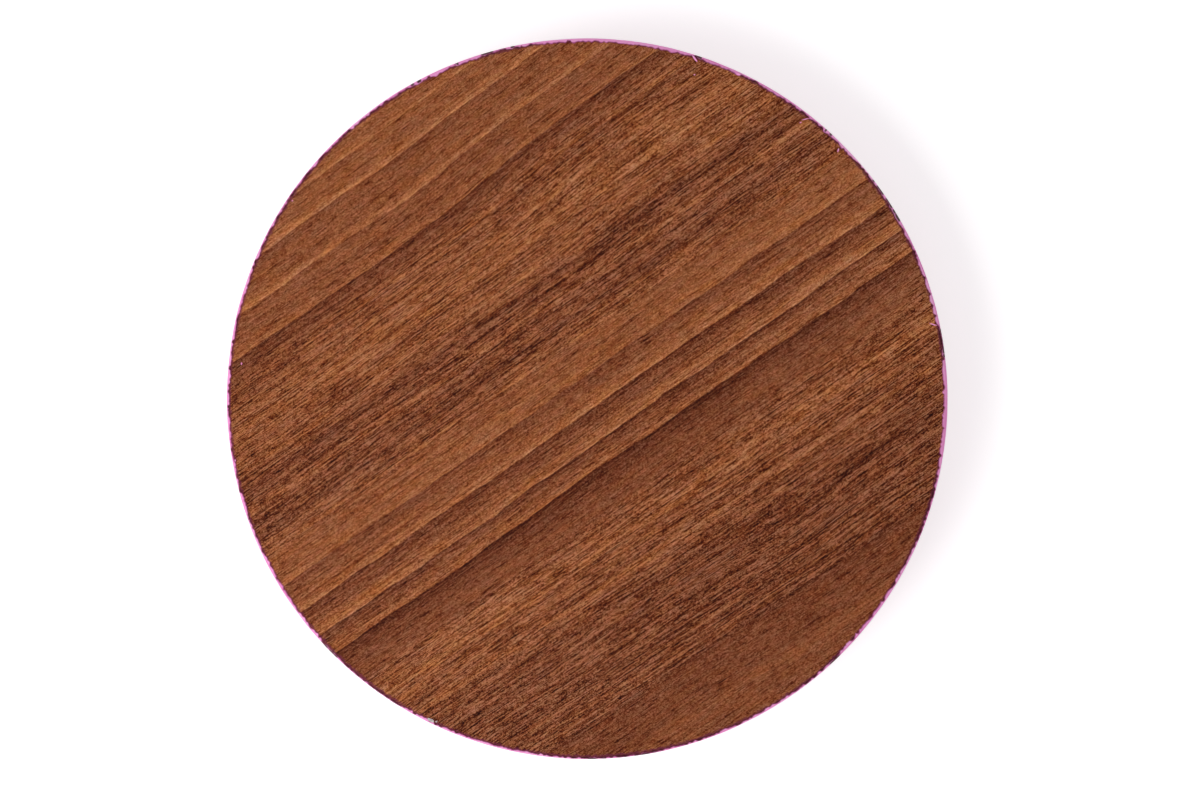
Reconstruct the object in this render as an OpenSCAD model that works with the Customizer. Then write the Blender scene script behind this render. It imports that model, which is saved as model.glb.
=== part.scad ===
// Round rolling board for flatbreads. A woodgrain laminate is pressed on a plywood sheet, the
// sheet is cut round and its rim painted by hand, and three turned feet are screwed under it.
// Z is up. The origin is at the board's centre, on the surface that the feet stand on.

/* [Board] */
// Diameter over the painted rim
board_d = 240; // [200:5:300]
// Thickness of the plywood, its veneers together
plywood_t = 18; // [12:0.5:25]
// Thickness of each of the two outer veneers
face_veneer_t = 0.5; // [0.3:0.1:0.8]
// Thickness of the laminate
laminate_t = 1; // [0.9:0.1:1.5]
// How far the laminate's edge is bevelled back
bevel_w = 1; // [0.5:0.1:1.5]
// How deep that bevel goes down
bevel_h = 0.8; // [0.3:0.1:0.8]
// Radius of the eased lower edge
arris_r = 1.4; // [0.8:0.1:2]

/* [Paint] */
// Thickness of the brushed enamel on the rim
coat_t = 0.25; // [0.1:0.05:0.5]
// How far the enamel laps under the board
lap_w = 6; // [3:1:12]

/* [Feet] */
// Height of a foot
foot_h = 16; // [12:1:25]
// How far the middle of a foot stands in from the rim
foot_inset = 34; // [33:1:50]
// Radius of the bead at a foot's top
foot_top_r = 17; // [15:0.5:20]
// Radius of a foot's waist
foot_waist_r = 12.5; // [11:0.5:14]
// Radius of a foot's base
foot_base_r = 15; // [14:0.5:17]

/* [Screws] */
// Thickness of board left above a screw's point
screw_cover = 4; // [3:0.5:6]
// Radius of a screw's countersunk head
head_r = 4.1; // [3.5:0.1:4.5]
// Radius of the plain shank
shank_r = 2.1; // [1.7:0.1:2.2]
// How deep the head is sunk into the foot
sink_h = 5; // [3:0.5:6]

/* [Hidden] */
$fn = 96;

core_count = 11;
foot_count = 3;

// Heights of the layers
under_z = foot_h;
core_z = under_z + face_veneer_t;
core_veneer_t = (plywood_t - 2 * face_veneer_t) / core_count;
face_z = under_z + plywood_t - face_veneer_t;
laminate_z = under_z + plywood_t;
top_z = laminate_z + laminate_t;
wood_r = board_d / 2 - coat_t;
foot_circle_r = board_d / 2 - foot_inset;

// Turned profile of a foot
bead_r = 2.2;
base_h = 5;
base_edge_r = 1.5;
waist_z = (base_h + foot_h - 2 * bead_r) / 2;
cove_r = 4;
first_foot_angle = 90;

// Screw: 90 degree countersunk head, plain shank that stops short of the board, threaded core and point
shank_gap = 2;
shank_l = foot_h - sink_h - shank_gap;
screw_l = foot_h - sink_h + plywood_t - screw_cover;
head_rim_h = 0.4;
head_cone_h = head_r - shank_r;
core_r = 1.5;
point_l = 3;
point_r = 0.2;
clearance_r = shank_r + 0.15;
counterbore_r = head_r + 1.3;
driver_slot_w = 1.1;
driver_mouth_r = 2.3;
driver_floor_r = 0.6;
driver_h = 2.1;

laminate_brown = [0.50, 0.29, 0.19];
veneer_red = [0.66, 0.42, 0.30];
veneer_tan = [0.80, 0.64, 0.45];
veneer_dark = [0.70, 0.51, 0.34];
enamel_pink = [0.87, 0.42, 0.71];
turned_wood = [0.80, 0.60, 0.40];
zinc = [0.75, 0.74, 0.70];

// Half section of the disc that is cut from the pressed sheet, bevelled above and eased below
module disc_section() {
    translate([0, under_z])
        square([wood_r - arris_r, arris_r]);
    translate([wood_r - arris_r, under_z + arris_r])
        circle(r = arris_r);
    polygon([
        [0, under_z + arris_r],
        [wood_r, under_z + arris_r],
        [wood_r, top_z - bevel_h],
        [wood_r - bevel_w, top_z],
        [0, top_z]]);
}

// One layer of the disc, from height z up
module disc_layer(z, thickness) {
    intersection() {
        rotate_extrude() disc_section();
        translate([0, 0, z])
            cylinder(r = board_d, h = thickness);
    }
}

module at_each_foot() {
    for (i = [0 : foot_count - 1])
        at_foot(i + 1) children();
}

module at_foot(i) {
    rotate(first_foot_angle + (i - 1) * 360 / foot_count)
        translate([foot_circle_r, 0, 0])
            children();
}

// The threaded length of a screw without its thread, which is also the hole it sits in
module screw_core() {
    straight_l = screw_l - shank_l - point_l;
    translate([0, 0, sink_h + shank_l])
        cylinder(r = core_r, h = straight_l);
    translate([0, 0, sink_h + shank_l + straight_l])
        cylinder(r1 = core_r, r2 = point_r, h = point_l);
}

module top_laminate() {
    color(laminate_brown) disc_layer(laminate_z, laminate_t);
}

module top_face_veneer() {
    color(veneer_red) disc_layer(face_z, face_veneer_t);
}

// Core veneers count from the bottom, and the grain of each crosses that of the next
module core_veneer(i) {
    z = core_z + (i - 1) * core_veneer_t;
    color(i % 2 == 1 ? veneer_tan : veneer_dark)
        difference() {
            disc_layer(z, core_veneer_t);
            if (z < sink_h + screw_l)
                at_each_foot() screw_core();
        }
}

module bottom_face_veneer() {
    color(veneer_red)
        difference() {
            disc_layer(under_z, face_veneer_t);
            at_each_foot() screw_core();
        }
}

// The enamel film follows the disc: a wedge over the bevel, the rim, the eased edge and a lap
module edge_paint() {
    color(enamel_pink)
        rotate_extrude()
            difference() {
                union() {
                    polygon([
                        [wood_r - lap_w, under_z + arris_r],
                        [wood_r + coat_t, under_z + arris_r],
                        [wood_r + coat_t, top_z - bevel_h],
                        [wood_r - bevel_w, top_z],
                        [wood_r - lap_w, top_z]]);
                    translate([wood_r - lap_w, under_z - coat_t])
                        square([lap_w - arris_r, arris_r + coat_t]);
                    translate([wood_r - arris_r, under_z + arris_r])
                        circle(r = arris_r + coat_t);
                }
                disc_section();
            }
}

// Half section of a foot: rounded base, waist turned as a cove, and a bead under the board
module foot_section() {
    square([foot_waist_r, foot_h]);
    translate([0, base_edge_r])
        square([foot_base_r, base_h - 2 * base_edge_r]);
    square([foot_base_r - base_edge_r, base_h]);
    for (z = [base_edge_r, base_h - base_edge_r])
        translate([foot_base_r - base_edge_r, z])
            circle(r = base_edge_r);
    difference() {
        translate([0, base_h])
            square([foot_base_r - base_edge_r, foot_h - base_h - bead_r]);
        translate([foot_waist_r + cove_r, waist_z])
            circle(r = cove_r);
    }
    translate([0, foot_h - 2 * bead_r])
        square([foot_top_r - bead_r, 2 * bead_r]);
    translate([foot_top_r - bead_r, foot_h - bead_r])
        circle(r = bead_r);
}

module foot(i) {
    color(turned_wood)
        at_foot(i)
            difference() {
                rotate_extrude() foot_section();
                translate([0, 0, -1])
                    cylinder(r = counterbore_r, h = sink_h + 1);
                translate([0, 0, sink_h])
                    cylinder(r = head_r, h = head_rim_h);
                translate([0, 0, sink_h + head_rim_h])
                    cylinder(r1 = head_r, r2 = shank_r, h = head_cone_h);
                cylinder(r = clearance_r, h = foot_h + 1);
            }
}

// Cross recess for the driver, cut up into the head
module driver_recess() {
    intersection() {
        for (turn = [0, 90])
            rotate(turn)
                translate([-driver_slot_w / 2, -head_r, sink_h - 1])
                    cube([driver_slot_w, 2 * head_r, driver_h + 1]);
        union() {
            translate([0, 0, sink_h - 1])
                cylinder(r = driver_mouth_r, h = 1);
            translate([0, 0, sink_h])
                cylinder(r1 = driver_mouth_r, r2 = driver_floor_r, h = driver_h);
        }
    }
}

module foot_screw(i) {
    color(zinc)
        at_foot(i)
            difference() {
                union() {
                    translate([0, 0, sink_h])
                        cylinder(r = head_r, h = head_rim_h);
                    translate([0, 0, sink_h + head_rim_h])
                        cylinder(r1 = head_r, r2 = shank_r, h = head_cone_h);
                    translate([0, 0, sink_h + head_rim_h])
                        cylinder(r = shank_r, h = shank_l - head_rim_h);
                    screw_core();
                }
                driver_recess();
            }
}

top_laminate();
top_face_veneer();
for (i = [1 : core_count])
    core_veneer(i);
bottom_face_veneer();
edge_paint();
for (i = [1 : foot_count])
    foot(i);
for (i = [1 : foot_count])
    foot_screw(i);
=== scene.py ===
import math

import bmesh
import bpy
from mathutils import Matrix, Vector, noise


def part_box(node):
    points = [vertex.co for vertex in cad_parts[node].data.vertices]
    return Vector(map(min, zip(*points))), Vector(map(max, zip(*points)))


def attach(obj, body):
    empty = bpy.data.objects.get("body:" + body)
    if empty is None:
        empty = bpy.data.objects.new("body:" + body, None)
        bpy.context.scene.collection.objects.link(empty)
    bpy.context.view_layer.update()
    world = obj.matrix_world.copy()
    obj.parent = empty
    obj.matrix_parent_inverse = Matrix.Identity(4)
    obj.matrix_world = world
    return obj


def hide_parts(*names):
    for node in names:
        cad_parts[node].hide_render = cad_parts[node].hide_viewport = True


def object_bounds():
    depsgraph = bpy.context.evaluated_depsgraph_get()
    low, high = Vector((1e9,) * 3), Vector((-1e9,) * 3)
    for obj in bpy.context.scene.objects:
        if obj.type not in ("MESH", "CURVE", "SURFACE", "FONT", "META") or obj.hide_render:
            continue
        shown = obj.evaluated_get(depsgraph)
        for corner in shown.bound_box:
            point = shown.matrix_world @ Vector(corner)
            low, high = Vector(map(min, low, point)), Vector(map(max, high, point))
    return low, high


# Round rolling board for flatbreads, seen from straight above.
# Lengths in the dictionaries are millimetres, angles are degrees, and colours are screen values 0-255.
# A noise is given by its features per millimetre, and its seed only makes it differ from the others.

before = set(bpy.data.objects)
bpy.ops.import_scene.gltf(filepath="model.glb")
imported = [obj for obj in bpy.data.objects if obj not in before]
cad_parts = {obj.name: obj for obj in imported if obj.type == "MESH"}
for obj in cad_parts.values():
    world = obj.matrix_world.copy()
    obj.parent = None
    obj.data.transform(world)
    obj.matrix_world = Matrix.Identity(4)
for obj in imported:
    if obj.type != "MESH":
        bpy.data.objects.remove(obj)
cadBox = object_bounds()
print('frame loaded:', len(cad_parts), 'nodes')

mm = 0.001
fullTurn = 2 * math.pi
noiseRange = (.3, .7)              # nearly all of a noise lies between these
wideRange = (.25, .75)             # and all of a smooth one between these

# Heights and radii that the frame gives
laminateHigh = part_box('top_laminate')[1]
topZ = laminateHigh.z / mm
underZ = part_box('bottom_face_veneer')[0].z / mm
woodRadius = laminateHigh.x / mm
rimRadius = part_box('edge_paint')[1].x / mm
footNames = sorted(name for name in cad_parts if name.startswith('foot_') and 'screw' not in name)
screwNames = sorted(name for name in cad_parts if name.startswith('foot_screw_'))
coreNames = [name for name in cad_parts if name.startswith('core_veneer_')]


# Small helpers for numbers

def clamped(value):
    return max(0, min(1, value))


def between(stops, place):
    # the value at a place, from stops (place, value)
    for (before, first), (after, second) in zip(stops, stops[1:]):
        if before <= place <= after:
            return first + (second - first) * (place - before) / (after - before)
    return stops[-1][1]


def screenColour(red, green, blue):
    # a colour as read off a screen, made linear
    def linear(value):
        value = value / 255
        return value / 12.92 if value <= 0.04045 else ((value + 0.055) / 1.055) ** 2.4
    return (linear(red), linear(green), linear(blue), 1)


# Small helpers for shader nodes

def addNode(tree, kind, inputs=None, **settings):
    # settings are the node's own properties, and inputs are values or sockets by socket name or number
    node = tree.nodes.new('ShaderNode' + kind)
    for name, value in settings.items():
        setattr(node, name, value)
    for name, value in (inputs or {}).items():
        if isinstance(value, bpy.types.NodeSocket):
            tree.links.new(value, node.inputs[name])
        else:
            node.inputs[name].default_value = value
    return node


def calc(tree, operation, first, second=0.0, third=0.0):
    inputs = {0: first, 1: second}
    if operation in ('MULTIPLY_ADD', 'SMOOTH_MIN'):
        inputs[2] = third
    return addNode(tree, 'Math', inputs, operation=operation).outputs[0]


def fitted(tree, value, low, high, toLow=0.0, toHigh=1.0, shape='LINEAR'):
    inputs = {'Value': value, 'From Min': low, 'From Max': high, 'To Min': toLow, 'To Max': toHigh}
    return addNode(tree, 'MapRange', inputs, interpolation_type=shape).outputs[0]


def noiseAt(tree, place, scale=1.0, detail=2.0, roughness=0.5):
    inputs = {'Vector': place, 'Scale': scale, 'Detail': detail, 'Roughness': roughness}
    return addNode(tree, 'TexNoise', inputs).outputs[0]


def grainNoise(tree, grain, perAlong, perAcross, seed, detail=1.0, roughness=0.5):
    # noise that runs long one way: grain holds the places along the grain, across it and up
    along, across, up = grain
    point = addNode(tree, 'CombineXYZ', {
        'X': calc(tree, 'MULTIPLY', along, perAlong),
        'Y': calc(tree, 'MULTIPLY', across, perAcross),
        'Z': calc(tree, 'ADD', calc(tree, 'MULTIPLY', up, perAcross), seed)})
    return noiseAt(tree, point.outputs[0], detail=detail, roughness=roughness)


def swinging(tree, value, far, span=noiseRange):
    # a noise made to swing from -far to far
    return fitted(tree, value, *span, -far, far)


def grainSwing(tree, grain, wander, seed, span=noiseRange, detail=1.0, roughness=0.5):
    # a swinging noise along the grain: wander holds (features per mm along it, across it, how far)
    perAlong, perAcross, far = wander
    return swinging(tree, grainNoise(tree, grain, perAlong, perAcross, seed, detail, roughness), far, span)


def mixed(tree, share, first, second, mode='MIX'):
    node = addNode(tree, 'Mix', {0: share, 6: first, 7: second}, data_type='RGBA', blend_type=mode)
    return node.outputs[2]


def tinted(tree, colour, tint):
    return mixed(tree, 1.0, colour, tint, 'MULTIPLY')


def ramp(tree, value, stops):
    # stops are (place from 0 to 1, grey value or colour)
    node = addNode(tree, 'ValToRGB', {0: value})
    elements = node.color_ramp.elements
    while len(elements) < len(stops):
        elements.new(1.0)
    for element, (place, tone) in zip(elements, stops):
        element.position = place
        element.color = tone if isinstance(tone, tuple) else (tone, tone, tone, 1)
    return node.outputs[0]


def colourRamp(tree, value, places, colours):
    return ramp(tree, value, [(place, screenColour(*colour)) for place, colour in zip(places, colours)])


def millimetres(tree, turn=0.0, shift=(0, 0, 0)):
    # Object coordinates in millimetres, turned about Z
    mapping = addNode(tree, 'Mapping', {
        'Vector': addNode(tree, 'TexCoord').outputs['Object'], 'Location': shift,
        'Rotation': (0, 0, math.radians(turn)), 'Scale': (1 / mm, 1 / mm, 1 / mm)})
    return mapping.outputs[0]


def apart(tree, place):
    # a point's X, Y and Z
    return addNode(tree, 'SeparateXYZ', {0: place}).outputs[:]


def lengthOf(tree, vector):
    return addNode(tree, 'VectorMath', {0: vector}, operation='LENGTH').outputs['Value']


def fromAxis(tree, x, y):
    # distance from the Z axis
    return lengthOf(tree, addNode(tree, 'CombineXYZ', {'X': x, 'Y': y}).outputs[0])


def emptyTree(owner, outputKind):
    # the node tree of a material or a world, with nothing in it but the output
    owner.use_nodes = True
    tree = owner.node_tree
    tree.nodes.clear()
    return tree, addNode(tree, outputKind)


def startMaterial(name):
    material = bpy.data.materials.new(name)
    tree, out = emptyTree(material, 'OutputMaterial')
    shader = addNode(tree, 'BsdfPrincipled')
    tree.links.new(shader.outputs[0], out.inputs['Surface'])
    return material, tree, shader


def finishShader(tree, shader, colour, look, height, roughNoise=None):
    # look is a piece's dictionary: its depth is how deep the bump goes, and its roughness is one value, or
    # two that a noise goes between
    tree.links.new(colour, shader.inputs['Base Color'])
    if roughNoise is None:
        shader.inputs['Roughness'].default_value = look['roughness']
    else:
        roughness = fitted(tree, roughNoise, *noiseRange, *look['roughness'])
        tree.links.new(roughness, shader.inputs['Roughness'])
    for name, socket in (('specular', 'Specular IOR Level'), ('metallic', 'Metallic')):
        if name in look:
            shader.inputs[socket].default_value = look[name]
    bump = addNode(tree, 'Bump', {'Height': height, 'Distance': look['depth'] * mm, 'Strength': 1.0})
    tree.links.new(bump.outputs[0], shader.inputs['Normal'])


def dress(piece, material):
    piece.data.materials.clear()
    piece.data.materials.append(material)


# Small helpers for meshes, which are worked in millimetres

def spinInParts(bm, section, steps, doublings=4, weld=.001):
    # a spin slows down as its mesh grows, so a small part of the ring is spun and then doubled up
    parts = 2 ** doublings
    bmesh.ops.spin(bm, geom=section, axis=(0, 0, 1), cent=(0, 0, 0), angle=fullTurn / parts,
                   steps=steps // parts)
    for doubling in range(doublings):
        copied = bmesh.ops.duplicate(bm, geom=bm.verts[:] + bm.edges[:] + bm.faces[:])['geom']
        turn = Matrix.Rotation(fullTurn / parts * 2 ** doubling, 3, 'Z')
        bmesh.ops.rotate(bm, matrix=turn, cent=(0, 0, 0),
                         verts=[item for item in copied if isinstance(item, bmesh.types.BMVert)])
    bmesh.ops.remove_doubles(bm, verts=bm.verts, dist=weld)


def closedLoop(bm, corners):
    return [bm.edges.new(pair) for pair in zip(corners, corners[1:] + corners[:1])]


def onCircle(angle, radius, height):
    return Vector((math.cos(angle) * radius, math.sin(angle) * radius, height))


def asObject(bm, name):
    mesh = bpy.data.meshes.new(name)
    bm.to_mesh(mesh)
    bm.free()
    made = bpy.data.objects.new(name, mesh)
    bpy.context.scene.collection.objects.link(made)
    return made


def asPiece(bm, name, centre=Vector(), smooth=True):
    # a finished mesh becomes a piece of the board, in metres and at its place
    bmesh.ops.recalc_face_normals(bm, faces=bm.faces)
    bmesh.ops.transform(bm, matrix=Matrix.Scale(mm, 4), verts=bm.verts)
    bmesh.ops.translate(bm, vec=(centre.x, centre.y, 0), verts=bm.verts)
    piece = asObject(bm, name)
    for face in piece.data.polygons:
        face.use_smooth = smooth
    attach(piece, 'root')
    return piece


# The walnut print: growth bands across the grain, streaks, pores and a suede surface

laminate = {
    'grainAngle': 35,
    # tone across the grain where no line is: (place, tone)
    'ground': [(-120, .53), (-112, .55), (-104, .50), (-92, .47), (-88, .52), (-80, .52), (-66, .53),
               (-56, .61), (-44, .67), (-37, .63), (-34, .54), (-22, .55), (-12, .60), (0, .63), (17, .66),
               (24, .56), (38, .55), (44, .63), (56, .71), (68, .65), (76, .56), (82, .60), (96, .61),
               (108, .65), (120, .67)],
    # growth lines: (place, light above it, how far that fades, dark below it, how far that fades)
    'growthLines': [(112.7, .26, 3, .06, 3), (102.8, .40, 4, .12, 5), (90.8, .34, 4, .08, 3),
                    (79.6, .18, 4.5, .24, 6), (70.3, .14, 4, .10, 2), (61.2, .12, 1.6, .08, 1),
                    (18.0, .16, 2.2, .10, 1.5), (6.5, .14, 7, .20, 6), (-3.6, .30, 5, .26, 7),
                    (-13.5, .30, 5.5, .26, 4), (-21.2, .20, 6, .34, 9), (-45.6, .06, 3, .10, 2),
                    (-90.0, .02, 1, .10, 4)],
    'fadePowers': (2, 1.5),        # how the light and the dark side of a line fade
    # single stripes: (place, change of tone, half width)
    'stripes': [(67.6, -.08, .8), (65.2, -.04, .8), (58, .08, 1.4), (53.8, .08, 1.2), (51.0, -.10, 1.3),
                (45.6, .14, 1.2), (39.8, -.16, 1.8), (33.2, .16, 1.7), (29.6, -.08, 1), (25.2, -.16, 1.1),
                (22.2, .08, .9), (6.1, -.06, .35), (-4.0, -.06, .35), (-10.2, .06, 1.2), (-13.9, -.14, .4),
                (-21.6, -.14, .4), (-43.3, .08, 3), (-52.4, -.05, .9), (-55, .10, 1.4), (-58, -.08, .9),
                (-62, -.09, 1), (-67.8, -.10, 1.2), (-82, .08, .9), (-85.6, .14, .55), (-86.4, -.12, .45),
                (-87.1, .14, .5), (-88.5, .1, .6), (-107.3, .10, 3.5)],
    # where a line's fades get a ramp stop, as shares of the fade, and how close two stops may lie
    'kneesBelow': (1, .4), 'kneesAbove': (.25, .5, 1), 'kneeGap': .12,
    # lines spread towards the right: where that sets in across the grain, and how far it goes, given as
    # (from which place, to which, how far at each), across the grain above and along it below
    'upperFrom': (40, 78), 'upperFar': (80, 108, 2.2, .9),
    'lowerFrom': (-25, -55), 'lowerFar': (-90, 30, -1.8, 1.8),
    'upperBend': (-107, 143, 5, -5),    # where along the grain the upper ones bend, and how sharply
    # (features per mm along the grain, across it, how far the lines wander)
    'slowWander': (.011, .05, .8), 'quickWander': (.06, .16, .45),
    # how streaked and porous the print is: (place, share)
    'porous': [(-120, .25), (-106, .12), (-92, .25), (-90, 1), (-48, .95), (-36, .8), (-33, .15), (-22, .2),
               (-20, .45), (-4, .35), (7, .22), (17, .3), (19, .85), (36, .9), (44, .85), (72, .75),
               (76, .45), (80, .25), (92, .15), (120, .15)],
    # layers of streaks, long ones first and the suede's speckle last:
    # (features per mm along the grain, across it, contrast, strength where smooth, where porous)
    'streaks': [(.010, .80, 1, .09, .26), (.007, 1.8, 2.5, .04, .32), (.065, 2.3, 3, .04, .48),
                (.24, 3.0, 1, .62, 1.70), (2.0, 2.9, 1, 1.20, 2.50)],
    'streakDetail': 1.2, 'streakSeed': 50,
    'lightest': (.38, .30),        # how light streaks may get above their band, and how softly that's held
    'stagger': (.05, .6, .4),      # rows of streaks shift along the grain: (per mm along, across, how far)
    # dark pores: (features per mm along the grain, across it, from which noise to which, how dark,
    # how much higher that noise has to be where the print is smooth)
    'pores': [(.045, 2.3, .56, .64, .26, .07), (.16, 3.2, .57, .64, .40, .07), (.15, 1.5, .64, .70, .30, 0)],
    # where a stretch of bands changes towards one end of the grain:
    # (place along the grain from which it changes, to which, lowest band, highest, change of tone)
    'ends': [(30, 100, -40, 130, .04), (-40, -90, 32, 76, -.04), (-20, -50, -109, -100, -.08),
             (-20, -70, -92, -58, .04), (40, 80, 60, 64, -.08), (45, 80, 16, 21, -.07),
             (-30, -70, -42, -34, .06), (30, 60, -31, -22, .07), (30, 60, -18, -15, .12),
             (-20, -70, 69.5, 74.5, -.12)],
    'endsBlend': 3,                # over how many millimetres across the grain such a stretch sets in
    # browns by tone, which noise takes a little past 0 and 1
    'browns': [(-.5, (18, 3, 1)), (-.2, (38, 8, 2)), (0, (64, 17, 3)), (.25, (94, 41, 15)),
               (.5, (122, 67, 38)), (.75, (149, 91, 58)), (1, (175, 117, 82)), (1.5, (222, 166, 126))],
    # what a colour is multiplied by: light bands are more orange and dark ones more purple
    'purpler': (.90, 1.03, 1.53, 1), 'oranger': (1.10, .97, .62, 1),
    'hueByTone': (.2, .72, 0, .74),     # (from which tone, to which, from how orange, to how orange)
    'patches': (.10, .30, .21),    # (patches per mm along the grain, across it, their change of the hue)
    'redder': (1.06, .97, .97, 1), 'yellower': (.97, 1.02, .97, 1),
    'warmPatches': (.3, .6), 'warmRange': (.35, .65),
    # the cut edge, with distances from the bevel's start, where a colour sets in and where it's in full
    'bevelWidth': 1.0,
    # the dark ragged ring just inside the enamel: its colour, where it sets in and where it's full, and how
    # much of it shows
    'edgeDark': (96, 26, 58), 'edgeDarkReach': (-.45, .1), 'edgeDarkShare': .7,
    'kraft': (66, 24, 30), 'kraftReach': (.3, .7),
    'raggedness': (.8, .35),       # (features per mm, how far those edges wander)
    'suede': 1.6, 'roughness': (.55, .65), 'depth': .04, 'specular': .06,
}
bevelStart = woodRadius - laminate['bevelWidth']


def toneAcross(place):
    # the print's tone at one place across the grain
    tone = between(laminate['ground'], place)
    lightPower, darkPower = laminate['fadePowers']
    for line, light, fadeUp, dark, fadeDown in laminate['growthLines']:
        if 0 <= place - line < fadeUp:
            tone += light * (1 - (place - line) / fadeUp) ** lightPower
        if 0 < line - place < fadeDown:
            tone -= dark * (1 - (line - place) / fadeDown) ** darkPower
    for stripe, change, halfWidth in laminate['stripes']:
        tone += change * max(0, 1 - abs(place - stripe) / halfWidth)
    return tone


def toneKnees():
    # the places where the tone turns, which become the ramps' stops
    places = [place for place, tone in laminate['ground']]
    gap = laminate['kneeGap']
    knees = places[:]
    for line, light, fadeUp, dark, fadeDown in laminate['growthLines']:
        knees += [line - fadeDown * share for share in laminate['kneesBelow']]
        knees += [line - gap, line + gap]
        knees += [line + fadeUp * share for share in laminate['kneesAbove']]
    for stripe, change, halfWidth in laminate['stripes']:
        knees += [stripe - halfWidth, stripe, stripe + halfWidth]
    kept = [places[0]]
    for knee in sorted(knees):
        if kept[-1] + gap < knee < places[-1]:
            kept.append(round(knee, 2))
    return kept + [places[-1]]


def longRamp(tree, value, stops, most=30):
    # one ramp holds few stops, so a long list is shared between several, joined end to end
    result = None
    for start in range(0, len(stops) - 1, most - 1):
        part = stops[start:start + most]
        low, high = part[0][0], part[-1][0]
        share = fitted(tree, value, low, high)
        partTone = ramp(tree, share, [((place - low) / (high - low), tone) for place, tone in part])
        if result is None:
            result = partTone
        else:
            result = mixed(tree, calc(tree, 'GREATER_THAN', value, low), result, partTone)
    return result


def walnutBands(tree, grain):
    # places across the grain, moved as the print's lines spread and wander: one for bands and streaks,
    # and one for the growth lines, which wander more
    along, across, up = grain
    upperShare = calc(tree, 'MULTIPLY', fitted(tree, across, *laminate['upperFrom'], shape='SMOOTHSTEP'),
                      fitted(tree, across, *laminate['upperFar']))
    upperBend = calc(tree, 'TANH', fitted(tree, along, *laminate['upperBend']))
    upperMove = calc(tree, 'MULTIPLY', upperShare, upperBend)
    lowerShare = fitted(tree, across, *laminate['lowerFrom'], shape='SMOOTHSTEP')
    lowerMove = calc(tree, 'MULTIPLY', lowerShare, fitted(tree, along, *laminate['lowerFar']))
    wander = grainSwing(tree, grain, laminate['slowWander'], seed=3.7, span=wideRange)
    band = calc(tree, 'ADD', calc(tree, 'ADD', across, upperMove), calc(tree, 'ADD', lowerMove, wander))
    quickWander = grainSwing(tree, grain, laminate['quickWander'], seed=8.1, span=wideRange, detail=2,
                             roughness=.6)
    return band, calc(tree, 'ADD', band, quickWander)


def walnutTone(tree, grain, bandTone):
    # the bands' tone, changed towards the grain's ends, with streaks from long ones to the speckle that
    # the suede surface gives, and with pores
    along, band, up = grain
    tone = bandTone
    blend = laminate['endsBlend']
    for start, end, lowest, highest, change in laminate['ends']:
        within = calc(tree, 'MULTIPLY', fitted(tree, band, lowest - blend, lowest + blend),
                      fitted(tree, band, highest + blend, highest - blend))
        tone = calc(tree, 'MULTIPLY_ADD', within, fitted(tree, along, start, end, 0, change), tone)

    porous = longRamp(tree, band, laminate['porous'])
    rows = calc(tree, 'ADD', along, grainSwing(tree, grain, laminate['stagger'], seed=61.0))
    streaks = 0.0
    for perAlong, perAcross, contrast, smooth, rough in laminate['streaks']:
        layer = grainNoise(tree, (rows, band, up), perAlong, perAcross,
                           seed=laminate['streakSeed'] * perAcross, detail=laminate['streakDetail'])
        half = .5 / contrast
        shape = 'SMOOTHSTEP' if contrast > 1 else 'LINEAR'
        layer = fitted(tree, layer, .5 - half, .5 + half, -.5, .5, shape)
        streaks = calc(tree, 'MULTIPLY_ADD', layer, fitted(tree, porous, 0, 1, smooth, rough), streaks)
    limit, softness = laminate['lightest']
    tone = calc(tree, 'ADD', tone, calc(tree, 'SMOOTH_MIN', streaks, limit, softness))
    for perAlong, perAcross, least, most, dark, higher in laminate['pores']:
        pores = grainNoise(tree, grain, perAlong, perAcross, seed=77.0)
        fewer = fitted(tree, porous, 0, 1, -higher, 0)
        tone = calc(tree, 'ADD', tone, fitted(tree, calc(tree, 'ADD', pores, fewer), least, most, 0, -dark))
    return tone


def walnutColour(tree, grain, tone, bandTone):
    browns = laminate['browns']
    low, high = browns[0][0], browns[-1][0]
    places = [(at - low) / (high - low) for at, brown in browns]
    colour = colourRamp(tree, fitted(tree, tone, low, high), places, [brown for at, brown in browns])
    # orange and purple by the band, with patches of both along the grain
    patches = grainSwing(tree, grain, laminate['patches'], seed=14.6, detail=3, roughness=.6)
    hue = calc(tree, 'ADD', fitted(tree, bandTone, *laminate['hueByTone']), patches)
    hueColour = ramp(tree, hue, [(0, laminate['purpler']), (1, laminate['oranger'])])
    colour = tinted(tree, colour, hueColour)
    warmNoise = grainNoise(tree, grain, *laminate['warmPatches'], seed=30.2, detail=2)
    warmth = fitted(tree, warmNoise, *laminate['warmRange'])
    return mixed(tree, warmth, tinted(tree, colour, laminate['redder']),
                 tinted(tree, colour, laminate['yellower']))


def walnutEdge(tree, place, radius, colour):
    # a dark ragged ring on the laminate just inside the enamel, then the bevel through the kraft core
    perMm, far = laminate['raggedness']
    ragged = calc(tree, 'ADD', radius, swinging(tree, noiseAt(tree, place, scale=perMm), far))
    start, end = laminate['edgeDarkReach']
    edgeDark = fitted(tree, ragged, bevelStart + start, bevelStart + end, shape='SMOOTHSTEP')
    share = calc(tree, 'MULTIPLY', edgeDark, laminate['edgeDarkShare'])
    colour = mixed(tree, share, colour, screenColour(*laminate['edgeDark']))
    start, end = laminate['kraftReach']
    core = fitted(tree, ragged, bevelStart + start, bevelStart + end)
    return mixed(tree, core, colour, screenColour(*laminate['kraft']))


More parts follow.
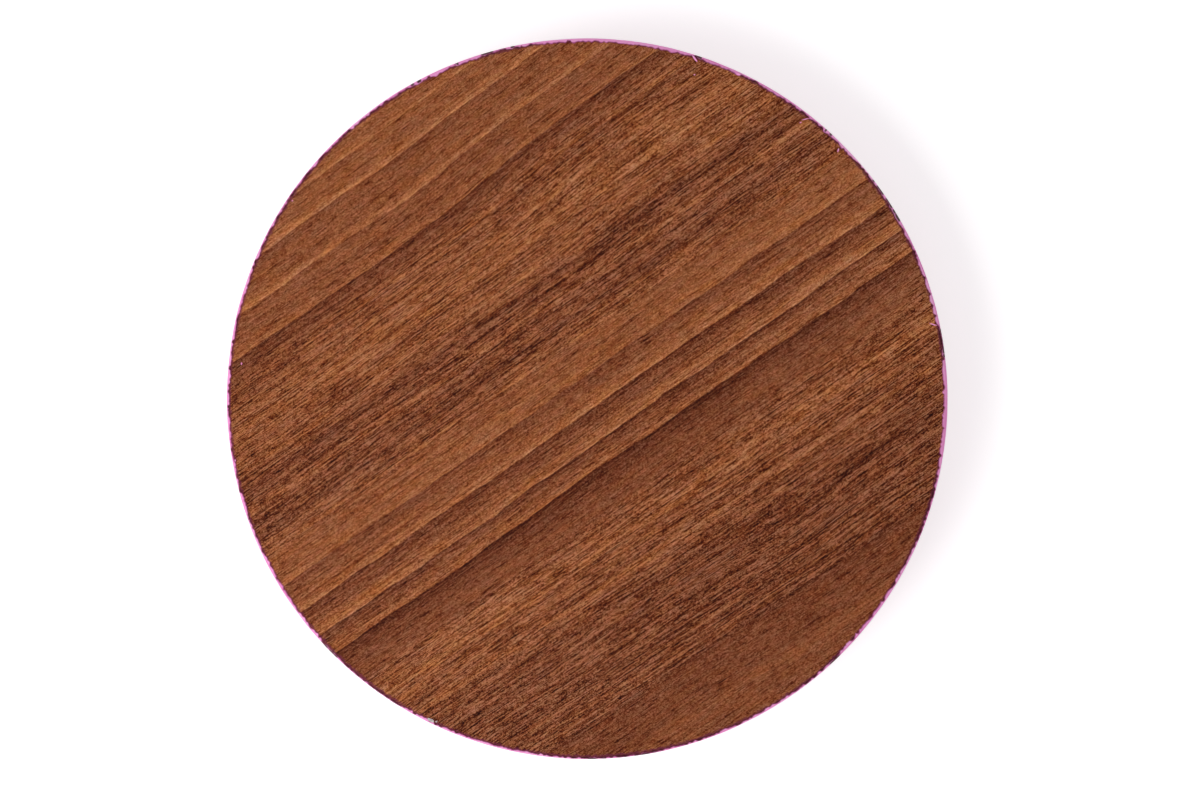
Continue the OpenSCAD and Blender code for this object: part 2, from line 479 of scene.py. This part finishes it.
def walnutLaminate():
    material, tree, shader = startMaterial('walnutLaminate')
    place = millimetres(tree, turn=-laminate['grainAngle'])
    along, across, up = apart(tree, place)
    band, lineBand = walnutBands(tree, (along, across, up))
    bandTone = longRamp(tree, lineBand, [(knee, toneAcross(knee)) for knee in toneKnees()])
    grain = (along, band, up)
    tone = walnutTone(tree, grain, bandTone)
    colour = walnutColour(tree, grain, tone, bandTone)
    colour = walnutEdge(tree, place, fromAxis(tree, along, across), colour)
    suede = noiseAt(tree, place, scale=laminate['suede'], roughness=.6)
    finishShader(tree, shader, colour, laminate, suede, suede)
    return material


dress(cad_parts['top_laminate'], walnutLaminate())
print('laminate printed')


# Plywood veneers

brownTones = (0, .5, 1)            # the tones at which a wood's three browns lie
veneer = {
    'face': [(132, 80, 56), (164, 108, 80), (186, 134, 102)],
    'core': [(150, 108, 68), (186, 144, 98), (208, 172, 124)],
    'wander': (.009, .013, 5),     # how the figure wanders: (per mm along the grain, across it, how far)
    # what shows in the wood: (features per mm along the grain, across it, change of tone)
    'figure': (.0030, .050, .4), 'threads': (.016, .9, .17), 'pores': (.16, 2.6, .30),
    'poreRange': (.58, .70),       # from which noise a pore shows, and where it's full
    'relief': (-1, .6),            # how much the pores and the threads stand out
    'roughness': .68, 'depth': .05, 'specular': .3,
}


def threadsAndPores(tree, grain, tone, wood, threadSeed, poreSeed):
    # a wood's tone with threads and short dark pores in it, the threads, and how high the wood stands
    perAlong, perAcross, change = wood['threads']
    threads = grainNoise(tree, grain, perAlong, perAcross, threadSeed, detail=2)
    tone = calc(tree, 'ADD', tone, swinging(tree, threads, change))
    perAlong, perAcross, change = wood['pores']
    pores = fitted(tree, grainNoise(tree, grain, perAlong, perAcross, poreSeed), *wood['poreRange'])
    tone = calc(tree, 'MULTIPLY_ADD', pores, -change, tone)
    poreRelief, threadRelief = wood['relief']
    height = calc(tree, 'MULTIPLY_ADD', pores, poreRelief, calc(tree, 'MULTIPLY', threads, threadRelief))
    return tone, threads, height


def veneerWood(name, colours, turn=0):
    # rotary-cut veneer: broad soft figure that wanders along the grain, threads, and short pores
    material, tree, shader = startMaterial(name)
    along, across, up = apart(tree, millimetres(tree, turn=turn))
    wander = grainSwing(tree, (along, across, up), veneer['wander'], seed=2.0, span=wideRange)
    grain = (along, calc(tree, 'ADD', across, wander), up)
    perAlong, perAcross, change = veneer['figure']
    figure = grainNoise(tree, grain, perAlong, perAcross, seed=4.0, detail=3)
    tone = fitted(tree, figure, *noiseRange, .5 - change, .5 + change)
    tone, threads, height = threadsAndPores(tree, grain, tone, veneer, threadSeed=7.0, poreSeed=9.0)
    colour = colourRamp(tree, tone, brownTones, colours)
    finishShader(tree, shader, colour, veneer, height)
    return material


faceVeneer = veneerWood('faceVeneer', veneer['face'])
coreAlong = veneerWood('coreVeneerAlong', veneer['core'])
coreAcross = veneerWood('coreVeneerAcross', veneer['core'], turn=90)
dress(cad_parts['top_face_veneer'], faceVeneer)
dress(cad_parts['bottom_face_veneer'], faceVeneer)
for name in coreNames:
    number = int(name.rsplit('_', 1)[1])
    dress(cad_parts[name], coreAcross if number % 2 else coreAlong)
print('veneers dressed')


# The enamel brushed on the rim

enamel = {
    'thin': (146, 54, 104), 'coat': [(212, 104, 168), (238, 148, 206), (248, 192, 228)],
    'coatTones': (.05, .45, .95),  # the tones at which the coat's three colours lie
    # how far the enamel comes in over the edge, from above: (angle, width)
    'widths': [(0, 1.40), (6, 1.35), (8, .50), (10.5, .55), (12, 1.20), (21, 1.10), (24, .70), (28, .95),
               (36, .60), (41, .55), (43, 1.00), (59, .95), (62, .60), (65, 1.15), (71.5, 1.0), (72.5, .30),
               (74, 1.10), (84, 1.30), (95, 1.25), (99, .90), (104, .60), (109, 1.10), (118, 1.05),
               (124, .80), (134, .75), (144, .55), (160, .85), (172, .75), (184, .80), (206, .95),
               (222, .90), (226, .45), (238, .40), (243, .85), (258, .80), (266, .55), (286, .50),
               (296, .80), (310, .75), (314, .40), (317, 1.25), (330, 1.10), (335, .50), (346, .60),
               (351, 1.40), (360, 1.40)],
    'leastWidth': .15,
    'dabs': [(190, .30), (330, .45), (760, .45)],   # the brush's marks: (how many round the rim, depth)
    # bare nicks: how many round the rim, from which noise, over how much of it they deepen, and how deep
    'skips': (420, .27, .12, .5),
    # stretches where the enamel is worn off the very edge and the laminate's dark core shows: (from, to)
    'bare': [(6.6, 11.6), (29.5, 37.5), (47.2, 48.4), (71.5, 72.6), (101.5, 102.2), (105.2, 107.3),
             (111, 111.7), (117.6, 119.4), (222.5, 226), (270, 273), (276, 280), (312, 314.6)],
    'bareness': (520, .75, 2.4),   # (breaks round the rim, how bare on the whole, how much that changes)
    'bareFrom': .3,                # share of the film's width from which it may be worn
    'bevelDrop': .8,
    'lip': .05,                    # thickness where the film ends
    'thickening': 3,               # how soon the film gets thicker from there
    'thinWidth': .55,              # how far in from its end the film is thin
    'rings': (.01, .07, .2, .4, .6, .8, .94),       # where the film's rings lie, as shares of its width
    'sideStart': .05,              # how far below the bevel its side starts
    'uneven': [(40, .05, .21), (150, .04, .6)],     # on the side: (bumps round the rim, how deep, per mm up)
    'grooveDepth': .05, 'grooveWidth': .22,         # the glue lines show through the film
    'grooveFrom': .3, 'grooveTo': .2,               # how far those keep from the arris and the bevel
    'arris': 1.4, 'lap': 6,        # the rounded lower edge, and how far the film goes under the board
    'arrisTurns': (0, 25, 50, 70, 90), 'innerTurns': (90, 45, 0),
    'lapWaves': [(60, .9), (260, .35)],
    'lapEnd': [(.5, .8), (.12, .35)],               # where the lap thins: (from its end, share of the coat)
    'steps': 1600,
    'sink': .04,                   # how far the film's hidden side stands in the wood
    # its hidden rings: how far below the bevel, how far in from the film's end, and the share of its width
    'hiddenTop': .06, 'hiddenStart': .02, 'hiddenShare': .7,
    # the brush marks: (per mm along the rim, across it), and the clouds in the coat, per mm
    'brush': (.035, 1.5), 'cloud': .09,
    'brushTones': (.12, .64), 'cloudTones': (0, .18),
    'streakiness': .25, 'coverRange': (.1, .8), 'bareRange': (.15, .6),
    'roughness': (.28, .42), 'depth': .05, 'specular': .4,
}
cornerZ = topZ - enamel['bevelDrop']
sideStartZ = cornerZ - enamel['sideStart']


def ringNoise(angle, waves, seed):
    # noise round the rim that closes on itself, from about -.5 to .5
    # a seed that goes with the height makes it change down the side
    return noise.noise(onCircle(angle, 1, 0) * waves / fullTurn + Vector((0, 0, seed)))


def filmStart(angle):
    # radius at which the film starts on the top, ragged from the brush
    width = between(enamel['widths'], math.degrees(angle) % 360)
    for index, (waves, depth) in enumerate(enamel['dabs']):
        width += depth * ringNoise(angle, waves, seed=4.2 + 7 * index)
    waves, least, span, depth = enamel['skips']
    skip = clamped((ringNoise(angle, waves, seed=40) - least) / span)
    return rimRadius - max(enamel['leastWidth'], width * (1 - depth * skip))


def bareness(angle):
    # 1 where the film is worn through at the very edge, broken up along it
    degrees = math.degrees(angle) % 360
    waves, whole, change = enamel['bareness']
    worn = any(first < degrees < last for first, last in enamel['bare'])
    return clamped(whole + change * ringNoise(angle, waves, seed=61)) if worn else 0


def bevelTop(radius):
    # height of the laminate's surface under the film
    return topZ - enamel['bevelDrop'] * clamped((radius - bevelStart) / laminate['bevelWidth'])


def filmTop(radius, share):
    # thin where the film ends, thicker where it rounds the bevel
    thin = bevelTop(radius) + enamel['lip']
    rounded = topZ - enamel['bevelDrop'] * max(0, radius - bevelStart) / (rimRadius - bevelStart)
    return thin + (max(thin, rounded) - thin) * min(1, share * enamel['thickening'])


def enamelSection():
    # rings of the film as (kind, radius, height), from its start on the top, down the side, and back inside;
    # the rings above the bevel give a share of the film's width in place of a radius
    arris, coat, sink = enamel['arris'], rimRadius - woodRadius, enamel['sink']
    arrisX, arrisZ = woodRadius - arris, underZ + arris
    lapRadius = woodRadius - enamel['lap']

    def roundArris(kind, size, turns):
        turns = [math.radians(turn) for turn in turns]
        return [(kind, arrisX + size * math.cos(turn), arrisZ - size * math.sin(turn)) for turn in turns]

    section = [('start', 0, 0)] + [('upper', share, 0) for share in enamel['rings']]
    section.append(('side', rimRadius, sideStartZ))
    veneerNames = coreNames + ['top_face_veneer', 'top_laminate']
    half = enamel['grooveWidth'] / 2
    lowest, highest = arrisZ + enamel['grooveFrom'], cornerZ - enamel['grooveTo'] + half
    for z in sorted((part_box(name)[0].z / mm for name in veneerNames), reverse=True):
        if lowest < z < highest:
            section += [('side', rimRadius, z + half), ('side', rimRadius - enamel['grooveDepth'], z),
                        ('side', rimRadius, z - half)]
    section += roundArris('side', arris + coat, enamel['arrisTurns'])
    section.append(('lap', (arrisX + lapRadius) / 2, underZ - coat))
    section += [('lap', lapRadius + away, underZ - coat * share) for away, share in enamel['lapEnd']]
    section.append(('lap', lapRadius, underZ + sink / 2))
    section += roundArris('inside', arris - sink, enamel['innerTurns'])
    section.append(('inside', woodRadius - sink, cornerZ - enamel['hiddenTop']))
    return section + [('under', enamel['hiddenShare'], 0), ('under', 0, 0)]


def buildEnamel():
    section = enamelSection()
    bm = bmesh.new()
    ringLayer = bm.verts.layers.int.new('ring')
    coverLayer = bm.verts.layers.float.new('cover')      # how well the film hides what it's brushed on
    bareLayer = bm.verts.layers.float.new('bare')        # 1 where the laminate's dark core shows
    loop = []
    for index, (kind, radius, height) in enumerate(section):
        # rings that get their place later start apart from each other, so that they aren't merged
        placed = kind in ('side', 'lap', 'inside')
        vertex = bm.verts.new((radius if placed else rimRadius + index, 0, height))
        vertex[ringLayer] = index
        loop.append(vertex)
    spinInParts(bm, loop + closedLoop(bm, loop), enamel['steps'])

    for vertex in bm.verts:
        kind, radius, height = section[vertex[ringLayer]]
        angle = math.atan2(vertex.co.y, vertex.co.x)
        start = filmStart(angle)
        vertex[coverLayer] = 1
        if kind == 'start':
            radius, height = start, bevelTop(start) - enamel['sink']
            vertex[coverLayer] = 0
        elif kind == 'upper':
            share = radius
            radius = start + (rimRadius - start) * share
            height = filmTop(radius, share)
            vertex[coverLayer] = min(1, (radius - start) / enamel['thinWidth'])
            if share > enamel['bareFrom']:
                vertex[bareLayer] = bareness(angle)
        elif kind == 'under':
            radius = start + (woodRadius - start) * radius + enamel['hiddenStart']
            height = bevelTop(radius) - 2 * enamel['sink']
        elif kind == 'side':
            if height == sideStartZ:
                vertex[bareLayer] = bareness(angle)
            radius += sum(depth * ringNoise(angle, waves, height * perUp)
                          for waves, depth, perUp in enamel['uneven'])
        elif kind == 'lap':
            for index, (waves, depth) in enumerate(enamel['lapWaves']):
                radius += depth * ringNoise(angle, waves, seed=3.3 + 6 * index)
        vertex.co = onCircle(angle, radius, height)
    return asPiece(bm, 'rim_enamel')


def brushedEnamel():
    material, tree, shader = startMaterial('brushedEnamel')
    place = millimetres(tree)
    x, y, z = apart(tree, place)
    # brush marks run round the rim: slow along it, quick across it
    perAlong, perAcross = enamel['brush']
    across = calc(tree, 'MULTIPLY', calc(tree, 'ADD', fromAxis(tree, x, y), z), perAcross)
    brushPlace = addNode(tree, 'CombineXYZ', {
        'X': calc(tree, 'MULTIPLY', x, perAlong), 'Y': calc(tree, 'MULTIPLY', y, perAlong), 'Z': across})
    brush = noiseAt(tree, brushPlace.outputs[0], detail=3, roughness=.6)
    cloud = noiseAt(tree, place, scale=enamel['cloud'])
    tone = calc(tree, 'ADD', fitted(tree, brush, *noiseRange, *enamel['brushTones']),
                fitted(tree, cloud, *noiseRange, *enamel['cloudTones']))
    colour = colourRamp(tree, tone, enamel['coatTones'], enamel['coat'])
    cover = addNode(tree, 'Attribute', attribute_name='cover').outputs['Fac']
    streaky = calc(tree, 'ADD', cover, swinging(tree, brush, enamel['streakiness']))
    colour = mixed(tree, fitted(tree, streaky, *enamel['coverRange']), screenColour(*enamel['thin']), colour)
    bare = addNode(tree, 'Attribute', attribute_name='bare').outputs['Fac']
    colour = mixed(tree, fitted(tree, bare, *enamel['bareRange']), colour, screenColour(*laminate['kraft']))
    finishShader(tree, shader, colour, enamel, brush, brush)
    return material


# Flecks of enamel beside the rim, and a chip in it

flecks = {
    # (x, y, length, width, direction)
    'pink': [(35.8, 113.2, 2.6, .55, 127), (115.1, 24.7, 2.5, .35, -18), (50.3, 107.9, 1.3, .8, 150),
             (35.7, 107.8, .5, .35, 0), (72.6, 93.0, 2.6, .25, 13), (71.0, 91.9, .6, .35, 20),
             (83.5, 82.7, 1.1, .4, 75), (-115.0, 11.7, .8, .45, 80), (-98.1, 65.9, .6, .3, 50),
             (-117.1, -20.5, .7, .4, 100)],
    'chip': [(-52.0, -107.0, 2.4, .9, -27), (-50.2, -107.4, .8, .5, 10)],
    'thickness': .09,
    'outline': (2.2, .5),          # how the outline wanders: (how often, how far), against a drop 1 across
}
filler = {
    'colours': [(150, 138, 136), (214, 206, 204)],
    'grain': 2.5, 'roughness': .8, 'depth': .05,
}


def buildFlecks(name, places):
    bm = bmesh.new()
    coverLayer = bm.verts.layers.float.new('cover')
    often, far = flecks['outline']
    for index, (x, y, length, width, direction) in enumerate(places):
        made = bmesh.ops.create_icosphere(bm, subdivisions=3, radius=.5)['verts']
        for vertex in made:
            vertex.co *= 1 + far * noise.noise(vertex.co * often + Vector((index * 5.1, 0, 0)))
            vertex[coverLayer] = 1
        size = Matrix.Diagonal((length, width, 2 * flecks['thickness'])).to_4x4()
        turn = Matrix.Rotation(math.radians(direction), 4, 'Z')
        bmesh.ops.transform(bm, matrix=Matrix.Translation((x, y, topZ)) @ turn @ size, verts=made)
    return asPiece(bm, name)


def chalkyChip():
    # bare wood filler under the enamel
    material, tree, shader = startMaterial('chalkyChip')
    grain = noiseAt(tree, millimetres(tree), scale=filler['grain'])
    finishShader(tree, shader, colourRamp(tree, grain, noiseRange, filler['colours']), filler, grain)
    return material


enamelMaterial = brushedEnamel()
rimEnamel = buildEnamel()
dress(rimEnamel, enamelMaterial)
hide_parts('edge_paint')
for name, places, material in (('enamel_flecks', flecks['pink'], enamelMaterial),
                               ('rim_chip', flecks['chip'], chalkyChip())):
    piece = buildFlecks(name, places)
    dress(piece, material)
print('rim enamelled:', len(rimEnamel.data.polygons), 'faces')


# The turned feet

turned = {
    'browns': [(146, 98, 60), (186, 138, 94), (212, 170, 122)],
    # half section, in radii and heights
    'baseRadius': 15, 'baseHigh': 5, 'baseRound': 1.5, 'neckRadius': 13.5,
    'waistRadius': 12.5, 'coveRadius': 4, 'beadRadius': 2.2,
    'boreRadius': 5.4, 'boreHigh': 5, 'seatRadius': 4.1, 'seatHigh': .4, 'holeRadius': 2.25,
    'roundSteps': 6, 'beadSteps': 18,
    'softened': .3,                # how much the sharp corners are sanded
    'finest': .45, 'mostCuts': 40,                  # the section's short steps, which take the gouge's marks
    'marks': [(.035, .9), (.02, 2.3)],              # the marks: (how deep, how many per mm)
    'unmarked': 1,                 # no marks so close to the bore
    'flat': .1,                    # nor so close to the top, and so close to the base they go upwards too
    'steps': 128,
    'ringsPerMm': .34, 'pithAway': 31,
    'ringTones': [(0, 0), (.55, .18), (.86, .55), (.95, 1), (1, 0)],
    'ringBend': (.03, .05, 3), 'ringBendRange': (.2, .8),   # (per mm up the foot, across it, how far)
    'threads': (.05, 1.6, .16), 'pores': (.12, 3.4, .28), 'poreRange': (.60, .70),
    'ground': .68, 'ringDark': .34,
    'relief': (-.6, .4),           # how much the pores and the threads stand out
    'roughness': (.40, .52), 'depth': .05, 'specular': .4,
    'firstSeed': 9, 'seedStep': 14,                 # a foot's seed moves its pith too
}


def arc(radius, height, size, first, last, steps):
    # points of a round stretch of a half section; 0 degrees is outwards and 90 is up
    turns = [math.radians(first + (last - first) * step / steps) for step in range(steps + 1)]
    return [(radius + size * math.cos(turn), height + size * math.sin(turn)) for turn in turns]


def footSection(topRadius, footHigh):
    # (radius, height) round the foot's half section, and the corners among them that are sharp
    rounding, bead, cove = turned['baseRound'], turned['beadRadius'], turned['coveRadius']
    base, high, neck = turned['baseRadius'], turned['baseHigh'], turned['neckRadius']
    roundSteps, beadSteps = turned['roundSteps'], turned['beadSteps']
    coveRadius = turned['waistRadius'] + cove
    coveHigh = (high + footHigh - 2 * bead) / 2
    coveTurn = math.degrees(math.acos((coveRadius - neck) / cove))
    hole, seat, bore = turned['holeRadius'], turned['seatRadius'], turned['boreRadius']
    boreHigh = turned['boreHigh']
    seatHigh = boreHigh + turned['seatHigh']
    underBead = (neck, footHigh - 2 * bead)
    points = arc(base - rounding, rounding, rounding, -90, 0, roundSteps)
    points += arc(base - rounding, high - rounding, rounding, 0, 90, roundSteps)
    points += arc(coveRadius, coveHigh, cove, 180 + coveTurn, 180 - coveTurn, beadSteps)
    points.append(underBead)
    points += arc(topRadius - bead, footHigh - bead, bead, -90, 90, beadSteps)
    points += [(hole, footHigh), (hole, seatHigh + seat - hole), (seat, seatHigh), (seat, boreHigh),
               (bore, boreHigh), (bore, 0)]
    return points, [underBead, (bore, boreHigh), (bore, 0)]


def buildFoot(name, centre, topRadius, footHigh):
    bm = bmesh.new()
    points, sharp = footSection(topRadius, footHigh)
    loop = [bm.verts.new((radius, 0, height)) for radius, height in points]
    closedLoop(bm, loop)
    softened = [vertex for vertex, point in zip(loop, points) if point in sharp]
    bmesh.ops.bevel(bm, geom=softened, offset=turned['softened'], offset_type='OFFSET', segments=3,
                    profile=.5, affect='VERTICES', material=-1)
    # short steps along the section, each pushed in a little where the gouge cut deeper
    for cuts in range(turned['mostCuts'], 0, -1):
        wide = [edge for edge in bm.edges if edge.calc_length() > turned['finest'] * (cuts + .5)]
        bmesh.ops.subdivide_edges(bm, edges=wide, cuts=cuts)
    flat = turned['flat']
    for vertex in bm.verts:
        radius, height = vertex.co.x, vertex.co.z
        if radius > turned['boreRadius'] + turned['unmarked'] and height < footHigh - flat:
            for depth, often in turned['marks']:
                cut = depth * (.5 + noise.noise(Vector((radius * often, centre.x, height * often))))
                vertex.co.x -= cut
                vertex.co.z += cut if height < flat else 0
    spinInParts(bm, bm.verts[:] + bm.edges[:], turned['steps'])
    return asPiece(bm, name, centre)


def turnedWood(name, centre, seed):
    # growth rings about a pith beside the foot: arcs on its base, and upright lines on its turned side
    material, tree, shader = startMaterial(name)
    shift = (-centre.x / mm + seed, -centre.y / mm + turned['pithAway'], 0)
    x, y, z = apart(tree, millimetres(tree, shift=shift))
    grain = (z, x, y)
    bend = grainSwing(tree, grain, turned['ringBend'], seed, turned['ringBendRange'], detail=2)
    ringPlace = calc(tree, 'ADD', fromAxis(tree, x, y), bend)
    # each year's wood darkens slowly and ends in a thin late line
    wave = calc(tree, 'FRACT', calc(tree, 'MULTIPLY', ringPlace, turned['ringsPerMm']))
    rings = ramp(tree, wave, turned['ringTones'])
    tone = calc(tree, 'MULTIPLY_ADD', rings, -turned['ringDark'], turned['ground'])
    tone, threads, height = threadsAndPores(tree, grain, tone, turned, threadSeed=seed, poreSeed=seed + 5)
    colour = colourRamp(tree, tone, brownTones, turned['browns'])
    finishShader(tree, shader, colour, turned, height, threads)
    return material


for index, name in enumerate(footNames):
    low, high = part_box(name)
    centre = (low + high) / 2
    piece = buildFoot('turned_' + name, centre, (high.x - low.x) / 2 / mm, (high.z - low.z) / mm)
    seed = turned['firstSeed'] + turned['seedStep'] * index
    dress(piece, turnedWood('turnedWood' + name[-1], centre, seed))
    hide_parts(name)
print('feet turned')


# The screws: the frame's own, and the thread that winds round each one's core

thread = {
    'coreRadius': 1.5, 'crestRadius': 2.05, 'root': .12,      # root is how far the ridge stands in the core
    'halfWidth': .42, 'pitch': 1.6, 'stepsPerTurn': 28,
    'start': 15, 'end': .3,        # the height it starts at, and how far below the point it ends
    'taperIn': 1.2, 'taperOut': 3.2, 'point': 3,
    'leastRidge': .02, 'leastRoot': .05,
}
zinc = {
    'colours': [(170, 166, 150), (214, 208, 190)],
    'spangle': 1.6, 'roughness': (.26, .4), 'depth': .01, 'metallic': 1.0,
}


def buildThread(name, centre, tip):
    # a ridge of three sides winds up the core, and runs out at both ends
    bm = bmesh.new()
    cornerLayer = bm.verts.layers.int.new('corner')
    start, end = thread['start'], tip - thread['end']
    rootRadius = thread['coreRadius'] - thread['root']
    half = thread['halfWidth']
    sides = [(rootRadius, -half), (thread['crestRadius'], 0), (rootRadius, half)]
    corners = []
    for index, (radius, height) in enumerate(sides):
        vertex = bm.verts.new((radius, 0, start + height))
        vertex[cornerLayer] = index
        corners.append(vertex)
    turns = (end - start) / thread['pitch']
    steps = round(turns * thread['stepsPerTurn'])
    bmesh.ops.spin(bm, geom=corners + closedLoop(bm, corners), axis=(0, 0, 1), cent=(0, 0, 0),
                   angle=fullTurn * turns, steps=steps, dvec=(0, 0, (end - start) / steps))
    ridge = thread['crestRadius'] - rootRadius
    for vertex in bm.verts:
        height = sides[vertex[cornerLayer]][1]
        middle = vertex.co.z - height
        share = min(1, (middle - start) / thread['taperIn'], (end - middle) / thread['taperOut'])
        share = max(thread['leastRidge'], share)
        core = thread['coreRadius'] * min(1, (tip - middle) / thread['point'])
        root = max(thread['leastRoot'], core - thread['root'])
        radius = root if height else root + ridge * share
        vertex.co = onCircle(math.atan2(vertex.co.y, vertex.co.x), radius, middle + height * share)
    bmesh.ops.holes_fill(bm, edges=bm.edges, sides=3)
    return asPiece(bm, name, centre, smooth=False)


def zincPlate():
    material, tree, shader = startMaterial('zincPlate')
    spangle = noiseAt(tree, millimetres(tree), scale=zinc['spangle'])
    colour = colourRamp(tree, spangle, noiseRange, zinc['colours'])
    finishShader(tree, shader, colour, zinc, spangle, spangle)
    return material


zincMaterial = zincPlate()
for name in screwNames:
    dress(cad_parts[name], zincMaterial)
    low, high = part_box(name)
    piece = buildThread(name + '_thread', (low + high) / 2, high.z / mm)
    dress(piece, zincMaterial)
print('screws threaded')


# Floor, light and camera

studio = {
    'floorHalf': 3000, 'floorAlbedo': .80,
    # the floor's own light makes up for the lamps' falling off: (distance from the object, to which,
    # strength, to which)
    'glow': (150, 1700, .53, .76),
    'glowOnObject': .18,           # the part of it that reaches the object's underside
    'ambient': .36, 'white': 1.0,
    'key': {'place': (-650, -400, 900), 'size': 700, 'power': 10},
    'fill': {'place': (900, 700, 1200), 'size': 1400, 'power': 4},
}
picture = {
    'pixelsWide': 1200, 'pixelsHigh': 800,
    # where the board's outline lies in the photograph
    'centreX': 587.2, 'centreY': 398.7, 'radius': 360.7,
    'distance': 950, 'sensor': 36, 'clip': (10, 20000),
}


def whereSeen(tree, unseen, seen):
    # one strength for the light that falls on the board, and one for what the camera sees, straight or
    # in metal and glass
    rays = addNode(tree, 'LightPath').outputs
    ray = calc(tree, 'MAXIMUM', rays['Is Camera Ray'],
               calc(tree, 'MAXIMUM', rays['Is Glossy Ray'], rays['Is Transmission Ray']))
    return fitted(tree, ray, 0, 1, unseen, seen)


def makeFloor():
    bm = bmesh.new()
    bmesh.ops.create_grid(bm, x_segments=1, y_segments=1, size=studio['floorHalf'] * mm)
    floor = asObject(bm, 'floor')
    floor.location.z = cadBox[0].z
    material = bpy.data.materials.new('paleFloor')
    tree, out = emptyTree(material, 'OutputMaterial')
    albedo = studio['floorAlbedo']
    paint = addNode(tree, 'BsdfDiffuse', {'Color': (albedo, albedo, albedo, 1)})
    glowSeen = fitted(tree, lengthOf(tree, millimetres(tree)), *studio['glow'], 'SMOOTHSTEP')
    strength = whereSeen(tree, studio['glowOnObject'], glowSeen)
    glow = addNode(tree, 'Emission', {'Color': (1, 1, 1, 1), 'Strength': strength})
    both = addNode(tree, 'AddShader', {0: paint.outputs[0], 1: glow.outputs[0]})
    # from below the floor is clear, so that the underside can be looked at
    clear = addNode(tree, 'BsdfTransparent')
    side = addNode(tree, 'NewGeometry').outputs['Backfacing']
    surface = addNode(tree, 'MixShader', {0: side, 1: both.outputs[0], 2: clear.outputs[0]})
    tree.links.new(surface.outputs[0], out.inputs['Surface'])
    dress(floor, material)


def makeWorld():
    world = bpy.data.worlds.new('studio')
    bpy.context.scene.world = world
    tree, out = emptyTree(world, 'OutputWorld')
    strength = whereSeen(tree, studio['ambient'], studio['white'])
    background = addNode(tree, 'Background', {'Color': (1, 1, 1, 1), 'Strength': strength})
    tree.links.new(background.outputs[0], out.inputs['Surface'])


def makeLight(name):
    settings = studio[name]
    lamp = bpy.data.lights.new(name, 'AREA')
    lamp.shape = 'SQUARE'
    lamp.size = settings['size'] * mm
    lamp.energy = settings['power']
    light = bpy.data.objects.new(name, lamp)
    light.location = Vector(settings['place']) * mm
    light.rotation_euler = (-light.location).to_track_quat('-Z', 'Y').to_euler()
    bpy.context.scene.collection.objects.link(light)


def makeCamera():
    data = bpy.data.cameras.new('camera')
    camera = bpy.data.objects.new('camera', data)
    bpy.context.scene.collection.objects.link(camera)
    bpy.context.scene.camera = camera
    pixel = rimRadius / picture['radius']
    data.sensor_width = picture['sensor']
    data.lens = picture['sensor'] * picture['distance'] / (picture['pixelsWide'] * pixel)
    camera.location = (
        (picture['pixelsWide'] / 2 - picture['centreX']) * pixel * mm,
        (picture['centreY'] - picture['pixelsHigh'] / 2) * pixel * mm,
        (topZ + picture['distance']) * mm)
    data.clip_start, data.clip_end = [distance * mm for distance in picture['clip']]


makeFloor()
makeWorld()
makeLight('key')
makeLight('fill')
makeCamera()
bpy.context.scene.view_settings.view_transform = 'Standard'
print('studio set')
